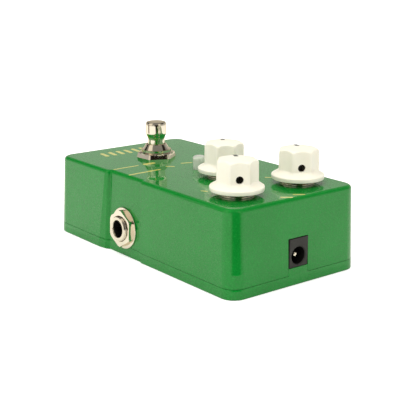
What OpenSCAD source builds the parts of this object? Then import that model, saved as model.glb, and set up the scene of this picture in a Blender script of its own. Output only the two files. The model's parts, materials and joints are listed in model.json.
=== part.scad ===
// Compact guitar effects pedal with one footswitch and three knobs.
// Origin: centre of the underside. +X is the input jack side, +Y the power inlet end, +Z up.

/* [Enclosure] */
// Length of the case at its foot
case_length = 111; // [108:0.5:116]
// Height of the case without knobs
case_height = 31.4; // [31:0.1:33]
// Width across the rear part at the foot of the case
rear_width = 60.2; // [60:0.1:62]
// Width across the recessed jack panels at the foot of the case
panel_width = 59.2; // [59:0.1:59.6]
// Width across the toe end at the foot of the case
toe_width = 62.6; // [62:0.1:64]
// Lean of the long walls, measured as lost width from foot to top
rear_lean = 1.4; // [1:0.1:1.6]
// Lean of the recessed panels, measured as lost width from foot to top
panel_lean = 2.6; // [2.4:0.1:2.8]
// Lean of the toe end walls, measured as lost width from foot to top
toe_lean = 2.8; // [2.4:0.1:3]
// Lean of the end walls, measured as lost length from foot to top
end_lean = 2.2; // [1.8:0.1:2.4]
// Radius of the upright corners
corner_radius = 5; // [4.5:0.1:5.5]
// Radius of the rounded top edge
edge_radius = 1.4; // [1:0.1:1.8]
// Thickness of the case wall
wall = 2.1; // [1.9:0.1:2.3]
// Height of the joint between case and bottom cover
seam_height = 3.8; // [3.6:0.1:4]
// Thickness of the bottom cover's floor
cover_floor = 2; // [1.8:0.1:2.2]

/* [Controls] */
// Distance between the two rear knobs
knob_spacing = 28.8; // [28:0.1:31]
// Rear knobs, distance behind the centre of the case
knob_row_y = 39.1; // [38.5:0.1:39.5]
// Single knob, distance behind the centre of the case
single_knob_y = 14.3; // [14:0.1:14.5]
// Outer diameter of a knob's skirt
skirt_diameter = 19.3; // [18.5:0.1:19.5]
// Diameter of a knob's grip
grip_diameter = 15.1; // [14.6:0.1:15.4]
// Height of a knob's crown above the case
knob_top = 13.5; // [13.3:0.1:14]
// Number of hollow facets round a knob
facets = 7; // [6:1:8]
// Turn of a potentiometer from end stop to end stop, in degrees
pot_travel = 296; // [280:1:300]
// Footswitch, distance in front of the centre of the case
footswitch_y = -28.8; // [-29.2:0.1:-28.5]
// Travel of the footswitch button
button_travel = 2.8; // [2:0.1:3]
// Indicator lamp, distance in front of the centre of the case
lamp_y = -0.5; // [-1:0.1:0]
// Height of the lamp above the case
lamp_height = 5.1; // [4.6:0.1:5.6]

/* [Sockets] */
// Side jacks, distance in front of the centre of the case
jack_y = -9.1; // [-9.4:0.1:-8.8]
// Height of the side jacks above the underside
jack_z = 10.9; // [10.8:0.1:11.2]
// Radius of the 6.35 mm plug's hole
jack_bore_r = 3.25; // [3.2:0.01:3.3]
// Height of the power inlet's hole above the underside
inlet_z = 10.5; // [10.4:0.1:10.6]
// Radius of the power inlet's hole
inlet_bore_r = 3.15; // [3.1:0.01:3.2]
// Radius of the power inlet's centre pin
inlet_pin_r = 1.05; // [1:0.01:1.1]

/* [Hidden] */

$fn = 48;
eps = 0.01;
skin = 2;                                  // thickness of the case's top
inner_top = case_height - skin;
seam_gap = 0.12;
touch_gap = 0.02;                          // between parts that only touch
foot_corner_r = corner_radius + 0.6;

// Plan positions of the three controls, in the order left, right, center
pots = [[-knob_spacing / 2, knob_row_y], [knob_spacing / 2, knob_row_y], [0, single_knob_y]];
LEFT = 0;
RIGHT = 1;
CENTER = 2;
rest_angle = 90 + pot_travel / 2;          // direction of the pointer at the lower end stop

// Sides of the recessed jack panels
panel_front = -19;
panel_back = 2.2;
panel_tilt = atan(panel_lean / 2 / case_height);
panel_x = panel_width / 2 - panel_lean / 2 * jack_z / case_height;

// Circuit board
board_z = 17.2;
board_t = 1.6;
board_top = board_z + board_t;
lead_r = 0.3;
wire_r = 0.6;                              // hook-up wire with its insulation
lead_hole_r = 0.5;

// Potentiometer, heights measured from the underside of the case
shaft_r = 3;
thread_r = 3.45;
can_r = 8.3;
can_bottom = 21;
plate_bottom = 28.1;
plate_top = inner_top - 0.1;
rotor_bottom = 26;
element_bottom = 24;
element_t = 1.2;
can_wall = 0.5;
pot_lead_pitch = 5;
pot_lead_y = -10.4;                        // leads stand in front of the can

// Knob, heights measured from the case's top
knob_bottom = 1.8;
knob_hollow_r = 7.1;
knob_hollow_top = 3.2;
insert_r = 4.3;
insert_bottom = 3.3;
insert_top = 10.5;
set_screw_z = 6.7;
set_screw_r = 1.3;

// Footswitch, heights measured from the underside of the case
plunger_r = 3.44;
cap_r = 4.2;
cap_bottom = 41;
cap_top = 45.6;
dress_nut_turn = 35.5;
switch_thread_r = 5.95;
frame_top = 22.6;
frame_t = 0.8;
switch_w = 17;
switch_bottom = 13;
chamber_r = 5.2;
chamber_floor = 14.6;
spring_pressed = 1.8;                      // height of the spring with the button pressed
plunger_foot = chamber_floor + spring_pressed + button_travel;
lug_bottom = 8.6;
lug_pitch = 4.8;
switch_board_z = 9.6;

// Lamp
lamp_r = 2.5;
lamp_edge_r = 1.3;                         // rounding of its top edge

// Jack, measured outward from the recessed panel
jack_thread_r = 4.74;
jack_washer_r = 7.9;
jack_washer_t = 0.6;
jack_nut_t = 1.8;
jack_nut_af = 12.7;
jack_end = 3.4;
jack_sleeve = 9.4;                         // length of the threaded sleeve
jack_body_w = 15.4;
jack_body_h = 12;
jack_body_front = -wall - 0.04;
jack_body_back = -23.3;
jack_channel = 7.8;
lug_y = 5.4;                               // the two contacts stand this far beside the jack's axis

// Power inlet
inlet_x = -0.5;                            // the inlet sits slightly off centre in its slot
inlet_w = 8.6;
inlet_bottom = 6.5;
inlet_top = 16.9;
inlet_face = 55.1;
inlet_back = 40.5;
inlet_depth = 9.5;
inlet_slot_left = -4.9;
inlet_slot_w = 9.3;
inlet_slot_top = 17.2;
pin_tip = 1.6;                             // the centre pin ends this far inside the inlet's face
pin_root_r = 0.8;
pin_root_l = 3;
inlet_leads = [[inlet_x, 42.2], [inlet_x, 48.4], [inlet_x - 3.2, 45.2]];

// Cover screws
boss_x = 24.2;
boss_y = 49.4;
boss_r = 3.4;
screw_r = 1.5;
screw_head_r = 2.8;
screw_length = 8;

// Components that hang below the board
resistor_pitch = 2.9;
resistor_spots = [for (i = [0:6]) [-20 + resistor_pitch * i, 22.5],
                  for (i = [0:5]) [5 + resistor_pitch * i, 22.5],
                  for (i = [0:4]) [-21 + resistor_pitch * i, 3.4]];
film_spots = [for (side = [-1, 1]) each [[side * 8, 32.6], [side * 18.5, 32.6], [side * 19, 12]]];
drum_spots = [[-11, 37.5], [-18.5, 38.5], [12, 37.5], [19.5, 38.5]];
chip_spots = [[-8, 11.5], [9, 11.5]];
resistor_l = 6.3;
resistor_r = 1.15;
drum_r = 3.15;
drum_h = 8;

// ---- Shapes used more than once ----

// A case block with leaning walls, upright round corners and a rounded top edge. It starts below the foot
module leaning_block(foot_w, lean, inset = 0, top = case_height) {
    under = 2;
    low_w = foot_w / 2 - inset + lean / 2 * under / case_height;
    low_l = case_length / 2 - inset + end_lean / 2 * under / case_height;
    rounding = top - edge_radius;
    top_w = foot_w / 2 - inset - lean / 2 * rounding / case_height;
    top_l = case_length / 2 - inset - end_lean / 2 * rounding / case_height;
    corner = corner_radius - inset * 0.6;
    foot_corner = foot_corner_r - inset * 0.6;
    hull() for (sx = [-1, 1], sy = [-1, 1]) {
        translate([sx * (low_w - foot_corner), sy * (low_l - foot_corner), -under])
            cylinder(r = foot_corner, h = eps, $fn = 40);
        translate([sx * (top_w - corner), sy * (top_l - corner), rounding])
            rotate_extrude($fn = 40)
                translate([corner - edge_radius, 0])
                    circle(r = edge_radius, $fn = 24);
    }
}

// Limit of the toe end: its shoulders are nearly square at the top and long and sloping at the foot
module toe_limit() {
    reach = 34;
    foot_slope = 3.4;
    module plan(inner_x, slope) {
        shoulder = panel_front - (reach - inner_x) * slope;
        linear_extrude(eps)
            polygon([[-reach, -60], [reach, -60], [reach, shoulder], [inner_x, panel_front],
                     [-inner_x, panel_front], [-reach, shoulder]]);
    }
    hull() {
        translate([0, 0, -3]) plan(panel_width / 2 + 0.1, foot_slope);
        translate([0, 0, case_height]) plan((panel_width - panel_lean) / 2, 1);
    }
}

// Outer form of case and cover together
module outer_form() {
    leaning_block(panel_width, panel_lean);
    intersection() {
        leaning_block(toe_width, toe_lean);
        toe_limit();
    }
    intersection() {
        leaning_block(rear_width, rear_lean);
        translate([-50, panel_back, -5]) cube([100, 100, 60]);
    }
}

// Hollow inside case and cover
module inner_form() {
    intersection() {
        leaning_block(panel_width, panel_lean, inset = wall, top = inner_top);
        translate([-50, -60, cover_floor]) cube([100, 120, inner_top]);
    }
}

module hexagon(across_flats, height) {
    cylinder(d = across_flats / cos(30), h = height, $fn = 6);
}

module ring(outer_r, inner_r, height) {
    difference() {
        cylinder(r = outer_r, h = height);
        translate([0, 0, -1]) cylinder(r = inner_r, h = height + 2);
    }
}

// Places a jack's parts: +Z points out of the recessed panel on the given side
module at_jack(side) {
    translate([side * panel_x, jack_y, jack_z])
        rotate([0, side * (90 - panel_tilt), 0])
            children();
}

module at_corners() {
    for (sx = [-1, 1], sy = [-1, 1]) translate([sx * boss_x, sy * boss_y, 0]) children();
}

// ---- Enclosure ----

module enclosure_shell() color("green") {
    difference() {
        union() {
            difference() {
                outer_form();
                inner_form();
            }
            intersection() {
                outer_form();
                at_corners() translate([0, 0, cover_floor]) cylinder(r = boss_r, h = inner_top - 1);
            }
        }
        translate([-50, -60, -10]) cube([100, 120, cover_floor + 10]);
        seam_cut();
        at_corners() translate([0, 0, -1]) cylinder(r = 1.25, h = 13);
        for (p = pots) translate([p[0], p[1], 25]) cylinder(r = thread_r + 0.15, h = 10);
        translate([0, footswitch_y, 25]) cylinder(r = switch_thread_r + 0.15, h = 10);
        translate([0, lamp_y, 25]) cylinder(r = lamp_r + 0.1, h = 10);
        for (side = [-1, 1]) at_jack(side) {
            translate([0, 0, -6]) cylinder(r = jack_thread_r + 0.2, h = 10);
            jack_slot(side, jack_thread_r + 0.2);
        }
        translate([inlet_slot_left, 50, 0]) cube([inlet_slot_w, 10, inlet_slot_top]);
    }
}

// Everything outside the corner posts up to the seam
module seam_cut() {
    difference() {
        translate([-50, -60, -1]) cube([100, 120, seam_height + seam_gap + 1]);
        at_corners() translate([0, 0, -1]) cylinder(r = boss_r, h = 10);
    }
}

// Slot below a jack's thread, open at the case's lower edge
module jack_slot(side, half_w) {
    length = 14;
    translate([side > 0 ? 0 : -length, -half_w, -6]) cube([length, 2 * half_w, 10]);
}

module bottom_cover() color("green") difference() {
    outer_form();
    translate([-50, -60, -10]) cube([100, 120, 10]);
    difference() {
        translate([-50, -60, seam_height]) cube([100, 120, 60]);
        cover_tabs();
    }
    difference() {
        inner_form();
        cover_tabs();
    }
    for (side = [-1, 1]) at_jack(side) translate([0, 0, -6]) cylinder(r = jack_thread_r + 0.2, h = 12);
    at_corners() {
        translate([0, 0, cover_floor]) cylinder(r = boss_r + 0.2, h = 10);
        rotate_extrude() polygon([[0, -1], [screw_head_r + 1.2, -1], [screw_r + 0.15, 1.5],
                                  [screw_r + 0.15, 10], [0, 10]]);
    }
}

// Blocks that fill the case's slots below the power inlet and behind the side jacks' washers
module cover_tabs() {
    translate([inlet_slot_left + 0.1, 52.2, 1]) cube([inlet_slot_w - 0.2, 10, inlet_bottom - 1.1]);
    for (side = [-1, 1])
        translate([side > 0 ? panel_x - 1.7 : -panel_x - 8.3, jack_y - jack_thread_r, 1])
            cube([10, 2 * jack_thread_r, jack_z - 1]);
}

module cover_screws() color("dimgray") at_corners() translate([0, 0, 0.1]) difference() {
    union() {
        cylinder(r1 = screw_head_r, r2 = 1.2, h = 1.4);
        cylinder(r = 1.2, h = screw_length);
    }
    for (turn = [0, 90]) rotate(turn) translate([-1.4, -0.3, -1]) cube([2.8, 0.6, 1.9]);
}

module insulating_sheet() color("black")
    translate([-19.5, -18, cover_floor]) cube([39, 62, 0.4]);

// ---- Knobs ----

module at_pot(i) {
    translate([pots[i][0], pots[i][1], case_height]) children();
}

module knob(i) color("ivory") at_pot(i) rotate(rest_angle + 180) difference() {
    skirt_r = skirt_diameter / 2;
    grip_r = grip_diameter / 2;
    flute_r = 9;
    flute_bottom = grip_r - 1.05;
    rotate_extrude($fn = 96) polygon(concat(
        [[0, knob_bottom], [skirt_r - 0.6, knob_bottom]],
        [for (a = [-60:30:60]) [skirt_r - 0.6 + 0.6 * cos(a), knob_bottom + 0.7 + 0.7 * sin(a)]],
        [[skirt_r - 0.9, knob_bottom + 1.6], [grip_r + 0.5, knob_bottom + 2.8],
         [grip_r, knob_bottom + 3.2], [grip_r - 0.1, knob_top - 2.3]],
        [for (a = [0:22.5:90]) [grip_r - 1.3 + 1.2 * cos(a), knob_top - 2.3 + 1.2 * sin(a)]],
        [[grip_r - 4, knob_top - 0.5], [0, knob_top]]));
    for (k = [0:facets - 1]) rotate(k * 360 / facets)
        translate([flute_bottom + flute_r, 0, knob_bottom + 3]) cylinder(r = flute_r, h = 20, $fn = 96);
    translate([0, 0, knob_bottom - 1]) cylinder(r = knob_hollow_r, h = 1 + knob_hollow_top - knob_bottom);
    translate([0, 0, knob_bottom]) cylinder(r = insert_r, h = insert_top - knob_bottom);
    cylinder(r = shaft_r + 0.05, h = insert_top + 1.2);
    translate([0, 0, set_screw_z]) rotate([0, 90, 0]) cylinder(r = set_screw_r + 0.1, h = 20);
}

module knob_insert(i) color("goldenrod") at_pot(i) rotate(rest_angle + 180) difference() {
    translate([0, 0, insert_bottom]) cylinder(r = insert_r, h = insert_top - insert_bottom);
    cylinder(r = shaft_r + 0.02, h = 20);
    translate([0, 0, set_screw_z]) rotate([0, 90, 0]) cylinder(r = set_screw_r + 0.05, h = 20);
}

module set_screw(i) color("dimgray") at_pot(i) rotate(rest_angle + 180)
    translate([shaft_r, 0, set_screw_z]) rotate([0, 90, 0]) difference() {
        cylinder(r = set_screw_r, h = 2.7);
        translate([-2, -0.25, 2]) cube([4, 0.5, 2]);
    }

// ---- Potentiometers ----

module pot_shaft(i) color("silver") translate([pots[i][0], pots[i][1], 0]) {
    translate([0, 0, rotor_bottom]) cylinder(r = shaft_r, h = case_height + 11.5 - rotor_bottom);
    translate([0, 0, rotor_bottom]) cylinder(r = 6.4, h = 1.6);
}

module pot_bushing(i) color("silver") translate([pots[i][0], pots[i][1], 0]) difference() {
    union() {
        translate([0, 0, plate_bottom]) cylinder(r = can_r, h = plate_top - plate_bottom);
        translate([0, 0, plate_bottom]) cylinder(r = thread_r, h = case_height + 3 - plate_bottom);
    }
    translate([0, 0, plate_bottom - 1]) cylinder(r = shaft_r + 0.06, h = 20);
}

module pot_can(i) color("lightgray") translate([pots[i][0], pots[i][1], can_bottom]) difference() {
    cylinder(r = can_r, h = plate_bottom - can_bottom);
    translate([0, 0, can_wall]) cylinder(r = can_r - can_wall, h = 20);
    translate([-7, -20, element_bottom - can_bottom - 0.1]) cube([14, 20, element_t + 0.2]);
}

module pot_element(i) color("sienna") translate([pots[i][0], pots[i][1], element_bottom]) difference() {
    union() {
        cylinder(r = can_r - can_wall - 0.1, h = element_t);
        translate([-6.8, pot_lead_y - 1, 0]) cube([13.6, -pot_lead_y, element_t]);
    }
    for (k = [-1:1]) translate([k * pot_lead_pitch, pot_lead_y, -1]) cylinder(r = 0.5, h = 4);
}

module pot_terminals() color("silver") for (p = pots, k = [-1:1])
    translate([p[0] + k * pot_lead_pitch, p[1] + pot_lead_y, board_z - 0.8])
        cylinder(r = 0.4, h = element_bottom + element_t + 0.4 - board_z + 0.8, $fn = 24);

module pot_washers() color("silver") for (i = [LEFT:CENTER]) at_pot(i)
    ring(6.2, thread_r + 0.1, 0.6);

module pot_nuts() color("silver") for (i = [LEFT:CENTER]) at_pot(i)
    translate([0, 0, 0.6]) difference() {
        hexagon(10, 2);
        translate([0, 0, -1]) cylinder(r = thread_r + 0.05, h = 5);
    }

// ---- Footswitch ----

module at_switch() {
    translate([0, footswitch_y, 0]) children();
}

module footswitch_plunger() color("silver") at_switch() rotate_extrude($fn = 64) polygon([
    [0, plunger_foot], [4.8, plunger_foot], [4.8, plunger_foot + 1], [plunger_r, plunger_foot + 1],
    [plunger_r, cap_bottom - 0.3], [cap_r - 0.4, cap_bottom + 0.5], [cap_r, cap_bottom + 1.6],
    [cap_r, cap_top - 1.5], [cap_r - 0.2, cap_top - 0.7], [cap_r - 0.6, cap_top - 0.2],
    [cap_r - 1.3, cap_top], [0, cap_top]]);

// Points round a tube that follows a path, one ring at each point of the path
// flat is any direction that the path never follows
function tube_rings(path, r, sides, flat) = [
    for (i = [0:len(path) - 1])
        let (ahead = path[min(i + 1, len(path) - 1)], behind = path[max(i - 1, 0)],
             along = (ahead - behind) / norm(ahead - behind),
             side = cross(along, flat) / norm(cross(along, flat)),
             up = cross(side, along))
            for (k = [0:sides - 1])
                path[i] + r * (cos(360 * k / sides) * side + sin(360 * k / sides) * up)];

module tube(path, r, flat, sides = 8) {
    rings = len(path);
    polyhedron(
        points = tube_rings(path, r, sides, flat),
        faces = concat(
            [[for (k = [0:sides - 1]) k]],
            [[for (k = [0:sides - 1]) rings * sides - 1 - k]],
            [for (i = [0:rings - 2], k = [0:sides - 1]) let (next = (k + 1) % sides)
                [i * sides + k, (i + 1) * sides + k, (i + 1) * sides + next, i * sides + next]]));
}

module footswitch_spring() color("silver") at_switch() {
    turns = 2.5;
    steps = 12;
    spring_wire_r = 0.25;
    coil_r = 3.6;
    low = chamber_floor + spring_wire_r + 0.02;
    high = plunger_foot - spring_wire_r - 0.02;
    tube([for (i = [0:turns * steps])
        let (a = 360 * i / steps, rise = (high - low) / (turns * steps))
            [coil_r * cos(a), coil_r * sin(a), low + rise * i]],
        spring_wire_r, [0, 0, 1]);
}

module footswitch_bushing() color("silver") at_switch() difference() {
    translate([0, 0, frame_top]) cylinder(r = switch_thread_r, h = case_height + 3 - frame_top);
    translate([0, 0, frame_top - 1]) cylinder(r = plunger_r + 0.06, h = 20);
}

module footswitch_frame() color("silver") at_switch() difference() {
    union() {
        translate([-switch_w / 2, -switch_w / 2, frame_top - frame_t]) cube([switch_w, switch_w, frame_t]);
        for (side = [-1, 1])
            translate([-5, side * (switch_w / 2 - frame_t / 2) - frame_t / 2, switch_bottom + 1])
                cube([10, frame_t, frame_top - switch_bottom - 1]);
    }
    translate([0, 0, frame_top - 2]) cylinder(r = plunger_r + 0.2, h = 4);
}

module footswitch_body() color("royalblue") at_switch() difference() {
    translate([-switch_w / 2, -switch_w / 2 + frame_t + 0.05, switch_bottom])
        cube([switch_w, switch_w - 2 * frame_t - 0.1, frame_top - frame_t - switch_bottom]);
    translate([0, 0, chamber_floor]) cylinder(r = chamber_r, h = 20);
    switch_lugs(0.05);
}

module switch_lugs(grow = 0) {
    for (kx = [-1:1], ky = [-1:1])
        translate([kx * lug_pitch - 1 - grow, ky * lug_pitch - 0.4 - grow, lug_bottom])
            cube([2 + 2 * grow, 0.8 + 2 * grow, switch_bottom + 1 - lug_bottom]);
}

module footswitch_terminals() color("gold") at_switch() switch_lugs();

module footswitch_lock_nut() color("silver") at_switch() translate([0, 0, inner_top - 2.2]) difference() {
    hexagon(14, 2.1);
    translate([0, 0, -1]) cylinder(r = switch_thread_r + 0.05, h = 5);
}

module footswitch_dress_nut() color("silver") at_switch() translate([0, 0, case_height]) difference() {
    union() {
        intersection() {
            rotate(dress_nut_turn) hexagon(14.2, 2);
            cylinder(r1 = 9.6, r2 = 7.6, h = 2, $fn = 64);
        }
        rotate_extrude($fn = 64)
            polygon([[0, 1.9], [7, 1.9], [6.2, 3], [5.3, 4], [4.6, 4.7], [4.2, 5.2], [0, 5.2]]);
    }
    translate([0, 0, -1]) cylinder(r = switch_thread_r + 0.05, h = 4.1);
    cylinder(r = plunger_r + 0.2, h = 10);
}

module footswitch_board() color("darkgreen") at_switch() difference() {
    translate([-10, -9, switch_board_z]) cube([20, 18, board_t]);
    switch_lugs(0.2);
}

// ---- Lamp ----

module lamp_lens() color([0.95, 0.97, 0.97, 0.5]) translate([0, lamp_y, 0]) {
    base = inner_top - 0.8;
    top = case_height + lamp_height;
    rim_r = lamp_r - lamp_edge_r;
    rotate_extrude() polygon(concat(
        [[0, base], [lamp_r + 0.4, base], [lamp_r + 0.4, base + 0.7], [lamp_r, base + 0.7]],
        [for (a = [0:18:90]) [rim_r + lamp_edge_r * cos(a), top - lamp_edge_r + lamp_edge_r * sin(a)]],
        [[0, top]]));
}

module lamp_leads() color("silver") for (side = [-1, 1])
    translate([side * 1.27, lamp_y, board_z - 0.8]) cylinder(r = lead_r, h = inner_top - board_z, $fn = 24);

// ---- Side jacks ----

module jack_body(side) color("black") at_jack(side) difference() {
    translate([-jack_body_h / 2, -jack_body_w / 2, jack_body_back])
        cube([jack_body_h, jack_body_w, jack_body_front - jack_body_back]);
    translate([0, 0, jack_end - jack_sleeve]) cylinder(r = jack_thread_r + 0.03, h = 20);
    translate([-jack_channel / 2, -jack_channel / 2, jack_body_back + 1.4])
        cube([jack_channel, jack_channel, -jack_body_back]);
    for (sy = [-1, 1]) {
        translate([-1.6, sy * lug_y - 0.4, jack_body_back - 1]) cube([3.2, 0.8, 15]);
        translate([-1.6, sy * 5 - 1.2, jack_body_back + 1.4]) cube([3.2, 2.4, 12.6]);
    }
}

module jack_bushing(side) color("silver") at_jack(side) difference() {
    translate([0, 0, jack_end - jack_sleeve]) cylinder(r = jack_thread_r, h = jack_sleeve);
    translate([0, 0, -20]) cylinder(r = jack_bore_r, h = 40);
}

module jack_washer(side) color("silver") at_jack(side) translate([0, 0, touch_gap])
    ring(jack_washer_r, jack_thread_r + 0.1, jack_washer_t - touch_gap);

module jack_nut(side) color("silver") at_jack(side) translate([0, 0, jack_washer_t]) difference() {
    rotate(30) hexagon(jack_nut_af, jack_nut_t);
    translate([0, 0, -1]) cylinder(r = jack_thread_r + 0.05, h = 5);
}

// Two spring leaves beside the plug's channel, each with a solder lug behind the body
module jack_contacts(side) color("gold") at_jack(side) for (sy = [-1, 1])
    translate([-1.3, sy * lug_y - 0.25, jack_body_back - 3.5]) cube([2.6, 0.5, 17]);

// ---- Power inlet ----

module inlet_body() color([0.15, 0.15, 0.16]) difference() {
    translate([inlet_x - inlet_w / 2, inlet_back, inlet_bottom])
        cube([inlet_w, inlet_face - inlet_back, inlet_top - inlet_bottom]);
    translate([inlet_x, inlet_face + 1, inlet_z]) rotate([90, 0, 0])
        cylinder(r = inlet_bore_r, h = inlet_depth + 1);
    translate([inlet_x, inlet_face, inlet_z]) rotate([90, 0, 0])
        cylinder(r = pin_root_r, h = inlet_depth + pin_root_l);
    for (p = inlet_leads) translate([p[0], p[1], inlet_top - 1]) cylinder(r = 0.6, h = 5, $fn = 24);
}

module inlet_pin() color("silver") translate([inlet_x, inlet_face - pin_tip, inlet_z]) rotate([90, 0, 0]) {
    cylinder(r = inlet_pin_r, h = inlet_depth - pin_tip);
    cylinder(r = pin_root_r, h = inlet_depth - pin_tip + pin_root_l);
}

module inlet_terminals() color("silver") for (p = inlet_leads)
    translate([p[0], p[1], inlet_top - 1]) cylinder(r = 0.6, h = board_top + 1.6 - inlet_top, $fn = 24);

// ---- Circuit board and components ----

module main_board() color("darkgreen") difference() {
    translate([0, 0, board_z]) linear_extrude(board_t) polygon([
        [-25.4, -18], [25.4, -18], [25.4, 45.2], [20, 45.2],
        [20, 51], [-20, 51], [-20, 45.2], [-25.4, 45.2]]);
    for (p = pots, k = [-1:1]) board_hole(p[0] + k * pot_lead_pitch, p[1] + pot_lead_y, 0.6);
    for (p = inlet_leads) board_hole(p[0], p[1], 0.8);
    for (side = [-1, 1]) board_hole(side * 1.27, lamp_y, lead_hole_r);
    for (s = resistor_spots, e = [-1, 1]) board_hole(s[0], s[1] + e * lead_span() / 2, lead_hole_r);
}

module board_hole(x, y, r) {
    translate([x, y, board_z - 1]) cylinder(r = r, h = board_t + 2, $fn = 24);
}

function lead_span() = resistor_l + 2.4;

// A resistor lies under the board and its two leads bend up through it
module resistors() color("burlywood") for (s = resistor_spots)
    translate([s[0], s[1], board_z - resistor_r - 0.2]) rotate([90, 0, 0]) {
        translate([0, 0, -resistor_l / 2]) cylinder(r = resistor_r, h = resistor_l, $fn = 24);
        translate([0, 0, -lead_span() / 2]) cylinder(r = lead_r, h = lead_span(), $fn = 24);
        for (e = [-1, 1]) translate([0, 0, e * lead_span() / 2]) rotate([-90, 0, 0])
            cylinder(r = lead_r, h = board_t + resistor_r + 0.7, $fn = 24);
    }

module film_capacitors() color("firebrick") for (s = film_spots)
    translate([s[0] - 3.6, s[1] - 1.4, board_z - 6.5]) cube([7.2, 2.8, 6.5]);

module electrolytic_capacitors() color("midnightblue") for (s = drum_spots)
    translate([s[0], s[1], board_z - drum_h]) cylinder(r = drum_r, h = drum_h);

module amplifier_chips() color("black") for (s = chip_spots)
    translate([s[0] - 4.8, s[1] - 3.2, board_z - 4]) cube([9.6, 6.4, 4]);

// ---- Wiring ----

// A smooth path through a short list of points
function smooth(points, steps = 4) = [
    for (i = [0:len(points) - 2], s = [0:steps - 1])
        let (t = s / steps, a = points[max(i - 1, 0)], b = points[i], c = points[i + 1],
             d = points[min(i + 2, len(points) - 1)])
            0.5 * (2 * b + (c - a) * t + (2 * a - 5 * b + 4 * c - d) * t * t
                   + (3 * b - a - 3 * c + d) * t * t * t),
    points[len(points) - 1]];

// Leads from the footswitch's board and from the jacks' lugs up to the main board
module hookup_wires() color("red") {
    under_board = board_z - 0.05;
    for (k = [-2:2])
        tube(smooth([[k * 3, footswitch_y + 9.14, switch_board_z + 0.8],
                     [k * 3, footswitch_y + 10.1, switch_board_z + 0.9],
                     [k * 2.3, footswitch_y + 10.9, 12.4], [k * 2.1, footswitch_y + 11.3, 14.6],
                     [k * 2.1, footswitch_y + 11.3, under_board]]),
             wire_r, [0, 0, 1]);
    for (sx = [-1, 1], sy = [-1, 1])
        tube(smooth([[sx * 3.6, jack_y + sy * lug_y, 11.4], [sx * 3.5, jack_y + sy * lug_y, 12.6],
                     [sx * 3.2, jack_y + sy * (lug_y - 0.6), 14.8],
                     [sx * 3.2, jack_y + sy * (lug_y - 0.6), under_board]]),
             wire_r, [1, 0, 0]);
}

enclosure_shell();
bottom_cover();
cover_screws();
insulating_sheet();
knob(LEFT);  // knob_left
knob(RIGHT);  // knob_right
knob(CENTER);  // knob_center
knob_insert(LEFT);  // knob_insert_left
knob_insert(RIGHT);  // knob_insert_right
knob_insert(CENTER);  // knob_insert_center
set_screw(LEFT);  // set_screw_left
set_screw(RIGHT);  // set_screw_right
set_screw(CENTER);  // set_screw_center
pot_shaft(LEFT);  // pot_shaft_left
pot_shaft(RIGHT);  // pot_shaft_right
pot_shaft(CENTER);  // pot_shaft_center
pot_bushing(LEFT);  // pot_bushing_left
pot_bushing(RIGHT);  // pot_bushing_right
pot_bushing(CENTER);  // pot_bushing_center
pot_can(LEFT);  // pot_can_left
pot_can(RIGHT);  // pot_can_right
pot_can(CENTER);  // pot_can_center
pot_element(LEFT);  // pot_element_left
pot_element(RIGHT);  // pot_element_right
pot_element(CENTER);  // pot_element_center
pot_terminals();
pot_washers();
pot_nuts();
footswitch_plunger();
footswitch_spring();
footswitch_bushing();
footswitch_frame();
footswitch_body();
footswitch_terminals();
footswitch_lock_nut();
footswitch_dress_nut();
footswitch_board();
lamp_lens();
lamp_leads();
jack_body(1);  // input_jack_body
jack_bushing(1);  // input_jack_bushing
jack_washer(1);  // input_jack_washer
jack_nut(1);  // input_jack_nut
jack_contacts(1);  // input_jack_contacts
jack_body(-1);  // output_jack_body
jack_bushing(-1);  // output_jack_bushing
jack_washer(-1);  // output_jack_washer
jack_nut(-1);  // output_jack_nut
jack_contacts(-1);  // output_jack_contacts
inlet_body();
inlet_pin();
inlet_terminals();
main_board();
resistors();
film_capacitors();
electrolytic_capacitors();
amplifier_chips();
hookup_wires();
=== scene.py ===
"""Looks for the compact effects pedal: detailed pieces, materials, light and camera around the frame."""

import json
import math

import bmesh
import bpy
from mathutils import Matrix, Vector


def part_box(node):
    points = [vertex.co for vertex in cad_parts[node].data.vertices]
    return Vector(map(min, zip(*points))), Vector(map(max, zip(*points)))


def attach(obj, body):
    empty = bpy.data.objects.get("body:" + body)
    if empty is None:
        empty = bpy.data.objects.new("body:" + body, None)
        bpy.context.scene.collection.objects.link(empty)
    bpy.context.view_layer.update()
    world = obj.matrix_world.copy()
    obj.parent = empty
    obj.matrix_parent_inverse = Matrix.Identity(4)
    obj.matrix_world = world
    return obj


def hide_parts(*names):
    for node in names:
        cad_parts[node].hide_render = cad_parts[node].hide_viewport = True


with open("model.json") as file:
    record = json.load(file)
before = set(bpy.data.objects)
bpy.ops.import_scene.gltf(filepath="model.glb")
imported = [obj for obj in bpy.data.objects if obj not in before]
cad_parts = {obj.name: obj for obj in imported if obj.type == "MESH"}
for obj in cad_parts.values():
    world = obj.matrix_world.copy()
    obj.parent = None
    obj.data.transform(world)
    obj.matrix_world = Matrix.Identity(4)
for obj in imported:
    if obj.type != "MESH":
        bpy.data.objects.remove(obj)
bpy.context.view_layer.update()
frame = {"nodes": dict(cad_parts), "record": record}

MM = 0.001
NODES = frame["nodes"]


# ---------------------------------------------------------------- measures taken from the frame

cover_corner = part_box("bottom_cover")[1]
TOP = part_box("enclosure_shell")[1].z
HALF_LENGTH = cover_corner.y
TOE_HALF_WIDTH = cover_corner.x
SIDES = (1, -1)  # the input jack's side, then the output jack's


def centre_of(node):
    low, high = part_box(node)
    return (low + high) / 2


def size_of(node):
    low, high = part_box(node)
    return high - low


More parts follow.
